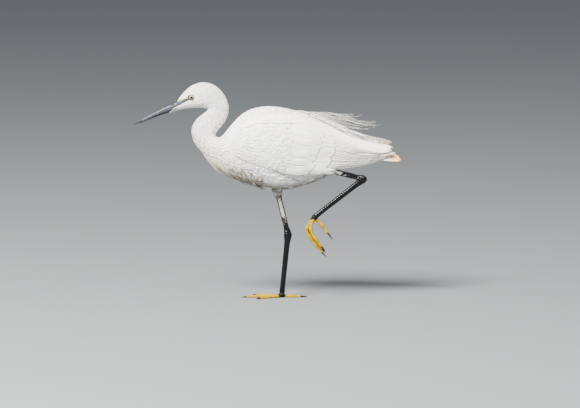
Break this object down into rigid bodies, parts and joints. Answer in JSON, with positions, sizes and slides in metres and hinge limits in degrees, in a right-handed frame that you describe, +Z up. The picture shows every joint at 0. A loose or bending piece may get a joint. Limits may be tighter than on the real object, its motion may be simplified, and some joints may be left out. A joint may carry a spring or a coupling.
{
  "type": "little egret",
  "caption": "Small white heron as a still life-size model, wading to the left on its right leg with the left leg lifted behind, head up on a folded neck, wings closed.",
  "frame": {"origin": "on the floor, under the middle of the bird's bounding box", "axes": "+Z up, the bird faces -X, its left side is towards -Y"},
  "size_m": [0.454, 0.102, 0.3674],
  "materials": {
    "plumage": "soft white feathers, faintly creamy, matt",
    "bill": "slate-black horn with a dull sheen, grey-blue at the base",
    "eye": "pale yellow iris, black pupil, wet gloss",
    "leg_skin": "black scaled skin, satin",
    "foot_skin": "bright yellow scaled skin, satin",
    "claw": "black horn, satin"
  },
  "bodies": {
    "root": {"head": "plumage", "neck_upper": "plumage", "neck_lower": "plumage", "breast": "plumage", "torso": "plumage", "mantle": "plumage", "wing_left": "plumage", "wing_right": "plumage", "tail": "plumage", "thigh_left": "plumage", "thigh_right": "plumage", "bill_upper": "bill", "bill_lower": "bill", "eye_left": "eye", "eye_right": "eye", "shank_left": "leg_skin", "shank_right": "leg_skin", "tarsus_left": "leg_skin", "tarsus_right": "leg_skin", "foot_left": "foot_skin", "foot_right": "foot_skin", "claw_left_inner": "claw", "claw_left_middle": "claw", "claw_left_outer": "claw", "claw_left_hind": "claw", "claw_right_inner": "claw", "claw_right_middle": "claw", "claw_right_outer": "claw", "claw_right_hind": "claw"}
  },
  "joints": []
}
